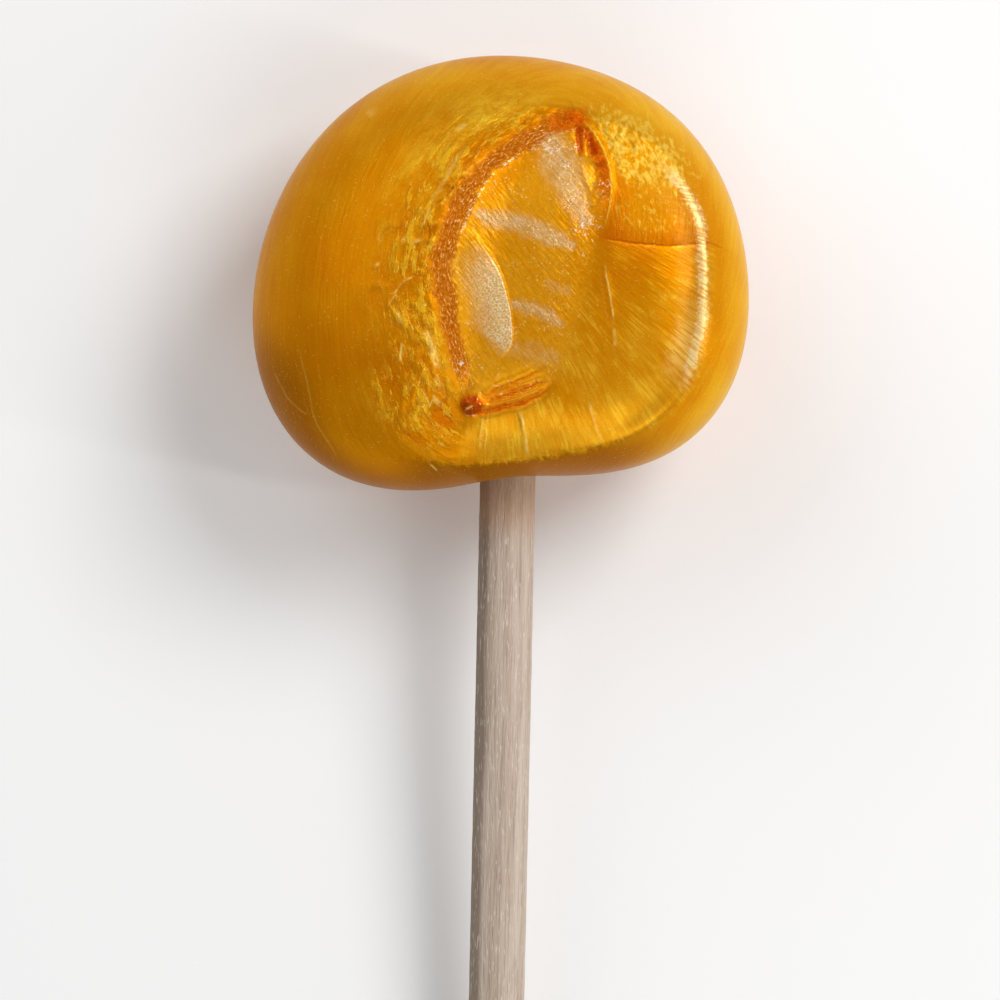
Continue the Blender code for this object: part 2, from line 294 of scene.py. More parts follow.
def near_curve(uv, controls, reach=9.0, steps=12):
    """How points of the face lie to a curve: signed distance, length walked along it, share of the way along.

    The distance is positive to the left of someone walking along the curve, and 99 out of its reach.
    """
    line = smooth_curve(controls, steps)
    tangent = np.gradient(line, axis=0)
    tangent /= np.linalg.norm(tangent, axis=1)[:, None]
    walked = np.concatenate([[0.0], np.cumsum(np.linalg.norm(np.diff(line, axis=0), axis=1))])
    distance = np.full(len(uv), 99.0)
    along = np.zeros(len(uv))
    close = np.all((uv > line.min(0) - reach) & (uv < line.max(0) + reach), axis=1)
    for rows in np.array_split(np.flatnonzero(close), max(1, close.sum() // 4096)):
        away = uv[rows, None, :] - line[None, :, :]
        nearest = np.argmin((away**2).sum(2), axis=1)
        to_point, step = away[np.arange(len(rows)), nearest], tangent[nearest]
        side = step[:, 0] * to_point[:, 1] - step[:, 1] * to_point[:, 0]
        forward = (step * to_point).sum(1)
        past_end = ((nearest == 0) & (forward < 0.0)) | ((nearest == len(line) - 1) & (forward > 0.0))
        straight = np.linalg.norm(to_point, axis=1) * np.where(side < 0.0, -1.0, 1.0)
        distance[rows] = np.where(past_end, straight, side)
        along[rows] = walked[nearest] + forward
    return distance, along, np.clip(along / walked[-1], 0.0, 1.0)


def oval_radius(uv, centre, half_size, direction=0.0):
    """0 at an oval's centre and 1 on its edge. Its first half size lies along direction."""
    away = uv - np.array(centre)
    c, s = math.cos(direction), math.sin(direction)
    along = away[:, 0] * c + away[:, 1] * s
    across = away[:, 1] * c - away[:, 0] * s
    return np.hypot(along / half_size[0], across / half_size[1])


def outline_radius(angle):
    """The head's outline, seen square to its face."""
    lobes = enumerate(HEAD_LOBES, start=1)
    return HEAD_RADIUS + sum(
        height * np.cos(order * (angle - math.radians(peak))) for order, (height, peak) in lobes
    )


def pebble(directions):
    """The plain rounded head, in the head frame: where a ray from its middle leaves it."""
    angle = np.arctan2(directions[:, 1], directions[:, 0])
    across = np.hypot(directions[:, 0], directions[:, 1])
    towards = directions[:, 2]
    squareness = ease(0.5 + 0.5 * np.cos(angle - SQUARE_DIRECTION)) * ease(across * 3.0)
    face_roundness = SOFT_ROUNDNESS + (SQUARE_ROUNDNESS - SOFT_ROUNDNESS) * squareness
    roundness = np.where(towards > 0.0, face_roundness, BACK_ROUNDNESS)
    depth = np.where(towards > 0.0, FACE_DEPTH, BACK_DEPTH)
    reach = (across / outline_radius(angle)) ** roundness + (np.abs(towards) / depth) ** roundness
    return directions * (reach ** (-1.0 / roundness))[:, None]


class Face:
    """Where the points of the face lie among its features, worked out once for the relief and the colours."""

    def __init__(self, uv):
        self.uv = uv
        self.u, self.v = uv[:, 0], uv[:, 1]
        self.outside, _, _ = near_curve(uv, SHOULDER, reach=30.0)
        self.hollow = between(self.u - HOLLOW_LEAN * (self.v + 14.0), *HOLLOW_FADE)
        self.scar = oval_radius(uv, SCAR_CENTRE, SCAR_HALF_SIZE, SCAR_DIRECTION)
        self.left, self.left_along, self.left_share = near_curve(uv, LEFT_CREASE, reach=14.0)
        self.left_ends = fade_ends(self.left_share, 8.0, 8.0)
        self.right, self.right_along, self.right_share = near_curve(uv, RIGHT_LIP, reach=5.0)
        self.border, _, _ = near_curve(uv, RIGHT_LIP + LOWER_BORDER, reach=12.0)
        self.feet = [near_curve(uv, controls, reach=8.0) for controls, *_ in FOOT_CREASES]
        self.flake, _, self.flake_share = near_curve(uv, FLAKE_EDGE, reach=5.0)
        self.crack, _, self.crack_share = near_curve(uv, CRACK, reach=3.0)
        self.ridge, self.ridge_along, self.ridge_share = near_curve(uv, RIDGE, reach=4.0)
        self.ragged = 0.22 * self.noise(1.3, 11.0) + 0.12 * self.noise(4.0, 12.0)
        away = uv - np.array(FAN_CENTRE)
        self.fan_angle = np.arctan2(away[:, 1], away[:, 0])
        self.fan_reach = np.hypot(away[:, 0], away[:, 1])
        away = uv - np.array(SCAR_CENTRE)
        self.ring = 10.0 * oval_radius(uv, SCAR_CENTRE, RING_HALF_SIZE, SCAR_DIRECTION)
        self.ring_turn = away / np.maximum(np.linalg.norm(away, axis=1), 0.01)[:, None]
        self.torn_width = np.interp(self.left_share, *TORN_HALF_WIDTH)
        self.in_scar = self.inside_scar()
        self.fan = self.in_fan()
        self.beaten = self.in_beaten_patch()
        self.wrinkled = self.in_wrinkles()
        self.painted_reflection = self.on_painted_reflections()
        self.torn = self.in_torn_band()
        self.bright_across, self.bright = self.on_lines(PAINTED_HIGHLIGHT_LINES)
        self.dark_across, self.dark = self.on_lines(DARK_LINES)

    def noise(self, waves, seed):
        """Noise over the face, with so many waves to a millimetre."""
        return noise(self.u * waves, self.v * waves, seed)

    def turned(self, direction):
        """How far along and across a direction the points lie. The direction is a cosine and a sine."""
        c, s = direction
        return self.u * c + self.v * s, self.v * c - self.u * s

    def inside_scar(self):
        """1 on the scar's floor, 0 outside its creases."""
        from_left = between(self.left, 0.2, 0.9)
        from_right = between(-self.border, -0.1, 0.7)
        above_foot = between(self.feet[0][0], -0.1, 0.6)
        return from_left * from_right * above_foot * (self.scar < 1.3)

    def in_fan(self):
        """1 where the sugar's fibres run out past the scar's foot and right side, below the crack."""
        direction = between(np.cos(self.fan_angle + math.radians(52.0)), 0.7, 0.84)
        inside = between(self.fan_reach, 9.0, 12.0) * between(self.outside + self.ragged, 0.9, 0.2)
        return direction * inside * (1.0 - self.in_scar) * between(self.v + 0.05 * (self.u - 8.2), 3.1, 2.4)

    def in_beaten_patch(self):
        """1 on the beaten patch at the upper right, and less below it."""
        wander = 0.12 * self.noise(0.9, 3.0)
        oval = oval_radius(self.uv, *BEATEN_PATCH) + wander
        lower = oval_radius(self.uv, *LOWER_BEATEN_PATCH) + wander
        patch = np.maximum(between(oval, 1.25, 0.45), 0.4 * between(lower, 1.15, 0.3))
        return patch * between(self.right, 0.2, 0.7)

    def in_wrinkles(self):
        """1 on the wrinkled skin to the left of the scar and at its foot, fading out towards the left."""
        wander = 0.8 * self.noise(0.35, 4.0)
        band = between(self.left + wander, -7.5, -1.8) * between(self.left, -0.6, -1.2)
        band *= between(self.left_share, 0.03, 0.2) * between(self.left_share, 1.0, 0.985)
        foot = oval_radius(self.uv, *FOOT_WRINKLES) + 0.12 * wander
        return np.maximum(band, 0.95 * between(foot, 1.15, 0.45) * between(self.fan, 0.7, 0.1))

    def on_painted_reflections(self):
        """1 on the pale bands on the scar's floor, which are painted reflections."""
        pale = np.zeros(len(self.uv))
        for controls, half_widths, strength in PAINTED_REFLECTION_BANDS:
            distance, _, share = near_curve(self.uv, controls, reach=4.0)
            half = np.interp(share, np.linspace(0.0, 1.0, len(half_widths)), half_widths)
            band = between(np.abs(distance) + self.ragged, half * 1.35, half * 0.2)
            pale = np.maximum(pale, strength * band)
        return pale

    def in_torn_band(self):
        """1 in the crumbling band along the left crease."""
        wander = 0.3 * noise(self.left_along * 0.6, self.left * 0.5, 13.0) + 0.9 * self.ragged
        away = np.abs(self.left + wander) - self.torn_width
        return between(away, 0.3, -0.35) * self.left_ends

    def on_lines(self, lines):
        """How far across the strongest thin line each point is, in half widths, and how strong it is there."""
        across = np.full(len(self.uv), 9.0)
        strengths = np.zeros(len(self.uv))
        for number, (controls, half_width, strength) in enumerate(lines):
            distance, along, share = near_curve(self.uv, controls, reach=2.0)
            ends = ease(share * 5.0 + 0.2) * ease((1.0 - share) * 5.0 + 0.2)
            broken = 0.75 + 0.45 * noise(along * 1.6, number + 0.5, 14.0)
            wavy = distance + 0.5 * half_width * noise(along * 1.3, number + 0.5, 15.0)
            close = between(np.abs(distance), 0.3 + 2.5 * half_width, 0.2 + 1.5 * half_width)
            here = strength * ends * broken * close
            across = np.where(here > strengths, wavy / half_width, across)
            strengths = np.maximum(strengths, here)
        return across, np.clip(strengths, 0.0, 1.0)


def hollow_relief(face):
    """The shoulder round the face, and the hollow inside it."""
    inside = np.maximum(-face.outside, 0.0)
    sunk = 1.0 - np.exp(-inside / HOLLOW_REACH)
    return face.hollow * (SHOULDER_HEIGHT * hump(face.outside, SHOULDER_WIDTH) - HOLLOW_DEPTH * sunk)


def ridge_relief(face):
    """The crest of the shoulder at the right, crossed by fine marks."""
    ends = fade_ends(face.ridge_share, 5.0, 4.0)
    marks = 0.7 + 0.5 * noise(face.ridge_along * 2.6, face.ridge * 0.6, 16.0)
    wander = 0.12 * noise(face.ridge_along * 0.8, 0.5, 17.0)
    return ends * (0.01 + 0.02 * marks) * hump(face.ridge + wander, 0.45)


def scar_relief(face):
    """The scar's floor, the creases round it and the lips that stand up outside them."""
    relief = -SCAR_SINK * ease((1.15 - face.scar) / 0.35)
    wander = 0.18 * noise(face.left_along * 0.7, face.left * 0.4, 5.0)
    left = face.left + wander
    down_wall = ease(0.5 + (left + 0.35) / WALL_WIDTH)
    floor_rise = hump(np.maximum(left - WALL_WIDTH / 2.0, 0.0), 4.5)
    relief -= WALL_DROP * face.left_ends * down_wall * floor_rise
    broken = 0.65 + 0.7 * noise(face.left_along * 0.8, left * 0.8, 6.0)
    thin = left + 0.25 * noise(face.left_along * 1.7, left * 0.6, 32.0)
    relief += LIP_HEIGHT * face.left_ends * broken * hump(thin + 1.2, 0.22)
    relief += 0.7 * LIP_HEIGHT * face.left_ends * (1.3 - broken) * hump(thin + 1.9, 0.25)
    relief += face.torn * 0.08 * face.noise(3.2, 7.0)
    relief += face.torn * 0.06 * face.noise(6.5, 8.0)
    beads = between(noise(face.left_along * 2.6, 0.5, 18.0), -0.2, 0.5)
    relief += 0.03 * face.left_ends * beads * hump(left - face.torn_width, 0.15)

    fade = ease((1.0 - face.right_share) * 1.8) * ease(face.right_share * 10.0 + 0.3)
    wall = ease(0.5 - (face.right + 0.55) / 1.1) * hump(np.minimum(face.right + 1.1, 0.0), 1.6)
    relief -= RIGHT_DROP * fade * wall * (face.right < 50.0)
    relief += 0.12 * fade * hump(face.right, 0.2)
    pinch = crests(face.right_along * 0.8, face.right * 0.45, 9.0)
    relief += 0.14 * fade * pinch * hump(face.right + 0.8, 0.6)
    for controls in FINGERS:
        distance, along, share = near_curve(face.uv, controls, reach=2.0)
        ends = fade_ends(share, 4.0, 3.0)
        relief += ends * (0.16 * hump(distance - 0.3, 0.22) - 0.3 * hump(distance, 0.2))

    for (distance, along, share), (_, depth, lip, _) in zip(face.feet, FOOT_CREASES):
        fade = ease((1.0 - share) * 2.5) * ease(share * 6.0 + 0.3)
        wavy = distance + 0.10 * noise(along * 1.2, distance, 10.0)
        relief -= depth * fade * hump(wavy, 0.22)
        relief += lip * fade * hump(wavy - 0.5, 0.3)
    return relief


def small_relief(face):
    """The flake, the knot, the dent, the crack, the side crease and the thin lines on the face."""
    on_flake = ease(0.5 - face.flake / 0.16) * hump(np.minimum(face.flake, 0.0), 2.4)
    on_flake *= hump(face.flake_share - 0.5, 0.42) * ease(face.flake_share * 5.0)
    relief = FLAKE_HEIGHT * on_flake
    relief -= DENT_DEPTH * hump(oval_radius(face.uv, FOOT_DENT, (1.9, 1.5)), 1.0)
    relief += KNOT_HEIGHT * hump(oval_radius(face.uv, KNOT, (0.85, 0.7)), 0.9)
    crack = fade_ends(face.crack_share, 8.0, 4.0)
    relief -= CRACK_DEPTH * crack * hump(face.crack + 0.06 * face.ragged, 0.10)
    relief -= 0.02 * crack * hump(face.crack - 0.15, 0.6)
    side, _, share = near_curve(face.uv, SIDE_CREASE, reach=3.0)
    relief -= SIDE_CREASE_DEPTH * fade_ends(share, 5.0, 5.0) * hump(side, 0.22)
    relief += LINE_HEIGHT * face.bright * hump(face.bright_across, 1.0)
    return relief - LINE_DEPTH * face.dark * hump(face.dark_across, 1.0)


def folds(face):
    """From 0 in the valleys to 1 on the thin crests of the wrinkled skin left of the scar."""
    bend = 0.8 * face.noise(0.3, 20.0)
    along, across = face.left_along, face.left
    rows = crests(along * 0.22 + bend, across * 0.6 + bend, 21.0)
    small_rows = crests(along * 0.55 + bend, across * 1.35 + 0.4 * bend, 22.0)
    return np.clip(0.6 * rows + 0.4 * small_rows, 0.0, 1.0) ** 2.2


def dabs(face):
    """From about -1 in the pits to 1 on the small dabs of the beaten patch."""
    along, across = face.turned(DAB_PULL)
    return 0.6 * noise(along * 1.9, across, 24.0) + 0.5 * noise(along * 3.0, across * 1.7, 25.0)


def skin_relief(face):
    """The satin skin's own unevenness: wrinkles, beaten dabs, fibres and soft dents."""
    relief = face.wrinkled * (FOLD_HEIGHT * folds(face) + 0.04 * face.noise(1.6, 19.0))
    relief += face.beaten * DAB_HEIGHT * dabs(face)

    rays = noise(face.fan_angle * 16.0, face.fan_reach * 0.12, 26.0)
    fibres = noise(face.fan_angle * 60.0, face.fan_reach * 0.4, 27.0)
    relief += face.fan * (0.005 * rays + 0.003 * fibres)

    along, across = face.turned(FLOOR_PULL)
    streaks = noise(along * 2.6, -across * 0.6, 28.0)
    relief += face.in_scar * (0.012 * streaks + 0.02 * face.noise(1.4, 31.0))
    relief += face.painted_reflection * 0.02 * face.noise(3.8, 29.0)
    return relief + 0.05 * face.noise(0.28, 30.0)


def stick_dimple(points):
    """How far the underside is drawn up round the stick."""
    stick_u = STICK_OFFSET + points[:, 1] * math.tan(STICK_LEAN)
    away = np.hypot(points[:, 0] - stick_u, points[:, 2])
    below = ease(-points[:, 1] / 8.0)
    return DIMPLE_DEPTH * below * ease((DIMPLE_RADIUS - away) / DIMPLE_RADIUS)


def buried_end():
    """Where the stick's buried end lies, as v in the stick's own direction."""
    return -(outline_radius(np.array([-math.pi / 2.0]))[0]) + STICK_BURIED


def resting_tilt():
    """The angle at which the stick's far end just touches what the head rests on."""
    reach = STICK_LENGTH - buried_end()
    return math.asin(REST_HEIGHT / math.hypot(reach, STICK_RADIUS)) - math.atan(STICK_RADIUS / reach)


STICK_TO_ROW = Matrix.Translation((0.0, 0.0, REST_HEIGHT)) @ Matrix.Rotation(resting_tilt(), 4, "X")
HEAD_TO_ROW = (
    Matrix.Translation((-STICK_OFFSET, 0.0, REST_HEIGHT))
    @ Matrix.Rotation(resting_tilt(), 4, "X")
    @ Matrix.Rotation(STICK_LEAN, 4, "Z")
)


def placed(points, matrix):
    """Points moved by a matrix."""
    m = np.array(matrix)
    return points @ m[:3, :3].T + m[:3, 3]


def sphere_directions(segments, rings):
    """Unit directions: the near pole, the rings from the near pole on, and the far pole."""
    polar = np.linspace(0.0, math.pi, rings + 1)[1:-1]
    turn = np.linspace(0.0, 2.0 * math.pi, segments, endpoint=False)
    p, t = np.meshgrid(polar, turn, indexing="ij")
    shell = np.stack([np.sin(p) * np.cos(t), np.sin(p) * np.sin(t), np.cos(p)], axis=2).reshape(-1, 3)
    return np.vstack([[(0.0, 0.0, 1.0)], shell, [(0.0, 0.0, -1.0)]])


def shell_faces(segments, rings):
    """Faces, turned outwards, over a near pole, the rings from there on and a far pole."""
    faces = []
    last = 1 + rings * segments
    for j in range(segments):
        k = (j + 1) % segments
        faces.append((0, 1 + j, 1 + k))
        faces.append((last, last - segments + k, last - segments + j))
    for near in range(1, last - segments, segments):
        far = near + segments
        for j in range(segments):
            k = (j + 1) % segments
            faces.append((near + j, far + j, far + k, near + k))
    return faces


def crowd_to_scar(sphere):
    """Moves a sphere's points over it, so that its pole and its closest rings lie round the scar."""
    share = np.arccos(np.clip(sphere[:, 2], -1.0, 1.0)) / math.pi
    polar = math.pi * (share + RING_CROWDING * share * (share - 1.0))
    angle = np.arctan2(sphere[:, 1], sphere[:, 0])
    stretch = 1.0 + (SCAR_STRETCH - 1.0) * ease(1.0 - polar / SCAR_REACH)
    along = np.sin(polar) * np.cos(angle) * stretch
    across = np.sin(polar) * np.sin(angle) / stretch
    c, s = math.cos(SCAR_DIRECTION), math.sin(SCAR_DIRECTION)
    crowded = np.stack([along * c - across * s, along * s + across * c, np.cos(polar)], axis=1)
    crowded /= np.linalg.norm(crowded, axis=1)[:, None]
    scar_axis = Vector((*SCAR_CENTRE, FACE_DEPTH)).normalized()
    turn = np.array(Vector((0.0, 0.0, 1.0)).rotation_difference(scar_axis).to_matrix())
    return crowded @ turn.T


def new_piece(name, points, faces, material):
    """A smooth closed mesh object, from points in millimetres in the row frame."""
    mesh = bpy.data.meshes.new(name)
    mesh.from_pydata((points * MM).tolist(), [], faces)
    mesh.shade_smooth()
    mesh.materials.append(material)
    piece = bpy.data.objects.new(name, mesh)
    bpy.context.scene.collection.objects.link(piece)
    return piece


def add_masks(piece, masks):
    """Stores a number or a vector at each vertex under each name."""
    for name, values in masks.items():
        kind, field = ("FLOAT", "value") if values.ndim == 1 else ("FLOAT_VECTOR", "vector")
        attribute = piece.data.attributes.new(name, kind, "POINT")
        attribute.data.foreach_set(field, np.ascontiguousarray(values, np.float32).ravel())


def redness(face):
    """1 where the sugar is deep orange: at the scar's tip, in the folds, on the knot and along the crack."""
    wander = face.ragged
    tip = between(oval_radius(face.uv, *SCAR_TIP) + wander, 1.3, 0.2)
    # The wall right of the scar: the sugar's own deep orange, kept bright as painted light shining through the
    # sugar.
    fade = ease((1.0 - face.right_share) * 1.4)
    right = fade * between(face.right + wander, 0.05, -0.3) * between(face.right + wander, -1.5, -0.6)
    red = np.maximum(tip, right)
    for controls in FINGERS:
        distance, _, share = near_curve(face.uv, controls, reach=2.0)
        red = np.maximum(red, ease((1.0 - share) * 3.0) * hump(distance + 0.5 * wander, 0.3))
    for (distance, _, share), (*_, strength) in zip(face.feet, FOOT_CREASES):
        fold = hump(distance + 0.6 * wander, 0.22) * ease((1.0 - share) * 2.2)
        red = np.maximum(red, strength * fold)
    leaf = between(face.feet[0][0], 0.0, 0.3) * between(face.feet[2][0], 0.3, -0.2)
    leaf *= between(face.u, 4.2, 0.5) * between(face.u, -2.2, -1.2)
    knot = between(oval_radius(face.uv, KNOT, (0.95, 0.9)) + wander, 1.2, 0.6)
    crack = 0.12 * ease((1.0 - face.crack_share) * 3.0) * hump(face.crack - 0.3, 0.5)
    return np.maximum.reduce([red, 0.4 * leaf, knot, crack]) * (face.scar < 2.5)


def golden_tone_and_painted_light(face):
    """How golden the skin is painted, from about -1, a deep amber, to 1, a bright yellow: its own tone mixed
    with painted light and shade.
    """
    # Painted shade: left darkens the left side, which faces away from the light.
    left = hump(face.u + 12.0, 9.0) * hump(face.v + 4.0, 13.0)
    # Painted light: below is a painted sheen under the scar, and beyond brightens the side past the right
    # shoulder.
    below = hump(oval_radius(face.uv, (1.0, -12.6), (7.5, 2.2)), 1.0)
    beyond = between(face.outside, 0.6, 2.5) * between(face.u, 4.0, 14.0)
    # Painted shade: side darkens the face right of the scar and inside the right shoulder.
    side = 0.35 * hump(oval_radius(face.uv, (7.0, -1.5), (4.5, 5.5)), 1.0)
    side += 0.9 * hump(oval_radius(face.uv, (12.0, 2.0), (4.2, 5.0)), 1.0) * between(face.outside, 0.3, -0.4)
    # Painted light: crown brightens the top of the head.
    crown = hump(face.v - 17.0, 8.0) * between(face.in_scar, 1.0, 0.0)
    # Painted shade: beside darkens the slopes by the creases and the lip, and the dent at the foot.
    beside = 1.1 * face.left_ends * hump(face.left + 1.1, 0.8) * between(face.left_share, 0.8, 0.5)
    beside += 0.8 * hump(face.left - face.torn_width - 0.7, 0.9) * hump(face.left_share - 0.28, 0.16)
    beside += 0.6 * hump(face.right - 1.0, 1.1) * between(face.v, 9.5, 8.0) * between(face.v, 2.4, 3.4)
    # The scar's floor and the fan are golden by their own tone; crown, below and beyond add painted light.
    golden = 0.55 * crown + 0.3 * below + 0.9 * beyond + 0.65 * face.in_scar + 0.35 * face.fan
    beside += 0.8 * hump(oval_radius(face.uv, FOOT_DENT, (1.7, 1.2)), 1.0)
    soft_folds = noise(face.left_along * 0.16, face.left * 0.45, 33.0) + 0.5 * face.noise(0.9, 34.0)
    # On the wrinkles: a random tone, darker towards the bottom.
    golden += face.wrinkled * (0.9 * soft_folds - 0.4 * between(face.v, -6.0, -9.0))
    return golden - 0.35 * left - side - beside


def as_seen(points):
    """Where the camera sees points of the head, on the plane through the head's middle."""
    nearness = VIEW_DISTANCE / (VIEW_DISTANCE - points[:, 2:3])
    return np.array(VIEW_CENTRE) + (points[:, :2] - np.array(VIEW_CENTRE)) * nearness


def pale_flake(face):
    """1 on the pale flake, which frays away from its edge."""
    flake = between(face.flake, 0.02, -0.1) * between(face.flake + 2.0 * face.ragged, -4.0, -0.9)
    flake *= 0.6 + 0.4 * hump(face.flake + 0.9, 1.2)
    return flake * between(face.flake_share, 0.1, 0.45) * between(face.flake_share, 1.0, 0.85)


def glint_spots(face):
    """1 where painted glints lie on the torn sugar."""
    glint_spot = np.zeros(len(face.uv))
    for centre, radius in GLINT_SPOTS:
        spot = oval_radius(face.uv, centre, (radius, radius)) + 2.5 * face.ragged
        glint_spot = np.maximum(glint_spot, between(spot, 1.5, 0.4))
    return glint_spot


def painted_foot_shade(face):
    """1 at the foot of the head, below the shoulder, where the sugar that turns to face down is painted dark
    amber as painted shade.
    """
    foot = between(face.v + 0.35 * np.minimum(face.u, 0.0), -8.5, -15.0) * between(face.u, 16.0, 8.0)
    return foot * (1.0 - between(face.u, -5.0, -10.0) * between(face.outside, 3.0, 0.0))


def dullness(face):
    """How dull the satin is: inside the right shoulder, along the upper left crease and at the foot."""
    dull = 0.75 * hump(oval_radius(face.uv, (12.3, 6.0), (4.2, 4.2)), 1.0) * between(face.right, 0.0, 0.5)
    dull += 0.7 * hump(face.left - face.torn_width - 0.8, 0.9) * hump(face.left_share - 0.28, 0.2)
    return dull + 0.4 * hump(oval_radius(face.uv, (5.0, -13.6), (8.5, 1.6)), 1.0)


def face_masks(face):
    """How far each kind of surface and each line is there, for the shown side alone."""
    flake = pale_flake(face)
    return {
        "red": redness(face),
        "painted_reflection": np.maximum(face.painted_reflection * face.in_scar, 0.6 * flake),
        "flake": flake,
        "crease_ends": face.left_ends * nearby(face.left) * between(face.left_share, 0.6, 0.4),
        "torn": face.torn,
        "glint_spot": glint_spots(face),
        # crest: where the wrinkles' thin crests get a painted highlight.
        "crest": 0.6 * face.wrinkled * folds(face),
        "wrinkled": face.wrinkled,
        "beaten": face.beaten,
        "bright": face.bright,
        "dark": face.dark,
        "ridge_ends": fade_ends(face.ridge_share, 6.0, 6.0) * between(np.abs(face.ridge), 3.0, 2.6),
        "lip_ends": fade_ends(face.right_share, 8.0, 3.0) * nearby(face.right),
        "crack_ends": fade_ends(face.crack_share, 8.0, 3.0) * nearby(face.crack),
        "knot": between(oval_radius(face.uv, KNOT, (1.0, 0.9)) + 0.5 * face.ragged, 1.1, 0.7),
        "fan": face.fan,
        "floor": face.in_scar,
        "golden_tone_and_painted_light": golden_tone_and_painted_light(face),
    }


def whole_masks(face, points, directions):
    """The distances to the lines, the ways that the fibres run, and what else holds for the whole head."""
    floor_along, floor_across = face.turned(FLOOR_PULL)
    dab_along, dab_across = face.turned(DAB_PULL)
    depth = points[:, 2]
    lines = {
        "chain_away": face.left - face.torn_width,
        "bright_across": face.bright_across,
        "dark_across": face.dark_across,
        "ridge_away": face.ridge,
        "lip_away": face.right,
        "crack_away": face.crack,
    }
    return {
        **{name: np.clip(distance, -3.0, 3.0) for name, distance in lines.items()},
        "outside": np.clip(face.outside, -3.0, 6.0),
        "dabs": dabs(face),
        "painted_ridge_sheen": 0.1 + 0.45 * between(face.v, -1.0, -6.0),
        "painted_foot_shade": painted_foot_shade(face),
        "satin": between(directions[:, 2], 0.1, 0.6) * (1.0 - dullness(face)),
        "head": points.copy(),
        "flow_ring": np.column_stack([face.ring, 3.5 * face.ring_turn]),
        "flow_fan": np.column_stack([face.fan_angle * 12.0, face.fan_reach, depth]),
        "flow_floor": np.column_stack([floor_along, -floor_across, depth]),
        "flow_dab": np.column_stack([dab_along, dab_across, depth]),
        "flow_crease": np.column_stack([face.left_along, np.clip(face.left, -12.0, 12.0), 0.0 * depth]),
    }


def make_head(material):
    """The rounded head with its relief, dimple and flat spot, and with the masks that its material needs."""
    directions = crowd_to_scar(sphere_directions(HEAD_SEGMENTS, HEAD_RINGS))
    points = pebble(directions)
    facing = ease((points[:, 2] / FACE_DEPTH - 0.1) / 0.35)
    face = Face(as_seen(points))
    masks = {name: values * facing for name, values in face_masks(face).items()}
    masks.update(whole_masks(face, points, directions))
    relief = hollow_relief(face) + ridge_relief(face) + scar_relief(face) + small_relief(face)
    points[:, 2] += (relief + skin_relief(face)) * facing
    points[:, 1] += stick_dimple(points)
    row = placed(points, HEAD_TO_ROW)
    row[:, 2] = np.maximum(row[:, 2], 0.0)
    head = new_piece("sugar_head", row, shell_faces(HEAD_SEGMENTS, HEAD_RINGS - 1), material)
    add_masks(head, masks)
    return head


class Nodes:
    """A short way to write a material's nodes."""

    def __init__(self, name):
        self.material = bpy.data.materials.new(name)
        self.material.use_nodes = True
        self.tree = self.material.node_tree
        self.shader = self.tree.nodes["Principled BSDF"]

    def put(self, inputs, values):
        """Sets a node's inputs, by name or number, to plain values or to what other nodes give."""
        for key, value in values.items():
            if isinstance(value, bpy.types.NodeSocket):
                self.tree.links.new(value, inputs[key])
            else:
                inputs[key].default_value = value

    def add(self, kind, values, output=0, **settings):
        """What a new node gives, from its settings and the values of its inputs."""
        new = self.tree.nodes.new("ShaderNode" + kind)
        for name, setting in settings.items():
            setattr(new, name, setting)
        self.put(new.inputs, values)
        return new.outputs[output]

    def attribute(self, name, output="Fac"):
        return self.add("Attribute", {}, output, attribute_name=name)

    def maths(self, operation, a, b=0.0, clamp=False):
        return self.add("Math", {0: a, 1: b}, operation=operation, use_clamp=clamp)

    def times(self, a, b):
        return self.maths("MULTIPLY", a, b)

    def plus(self, a, b):
        return self.maths("ADD", a, b)

    def minus(self, a, b):
        return self.maths("SUBTRACT", a, b)

    def most(self, a, b):
        return self.maths("MAXIMUM", a, b)

    def noise(self, vector, scale, detail, roughness):
        values = {"Vector": vector, "Scale": scale, "Detail": detail, "Roughness": roughness}
        return self.add("TexNoise", values)

    def stretched(self, vector, scale, detail, roughness):
        """Noise with its own scale along each axis."""
        scaled = self.add("VectorMath", {0: vector, 1: scale}, operation="MULTIPLY")
        return self.noise(scaled, 1.0, detail, roughness)

    def remap(self, value, low, high, to_low=0.0, to_high=1.0):
        """The value carried smoothly from one range to another, and held at its ends."""
        values = {"Value": value, "From Min": low, "From Max": high, "To Min": to_low, "To Max": to_high}
        return self.add("MapRange", values, clamp=True, interpolation_type="SMOOTHSTEP")

    def line(self, value, middle, half_width):
        """1 where the value is middle, and 0 where it is more than half_width from it."""
        return self.remap(self.maths("ABSOLUTE", self.minus(value, middle)), half_width, 0.3 * half_width)

    def blend(self, amount, a, b):
        return self.add("Mix", {0: amount, 2: a, 3: b}, data_type="FLOAT")

    def mix(self, amount, a, b):
        """A colour from a to b. A colour is what another node gives, or red, green and blue."""
        a, b = (c if isinstance(c, bpy.types.NodeSocket) else (*c, 1.0) for c in (a, b))
        return self.add("Mix", {0: amount, 6: a, 7: b}, 2, data_type="RGBA")

    def bump(self, height, strength, distance, normal=None):
        values = {"Height": height, "Strength": strength, "Distance": distance}
        if normal is not None:
            values["Normal"] = normal
        return self.add("Bump", values)


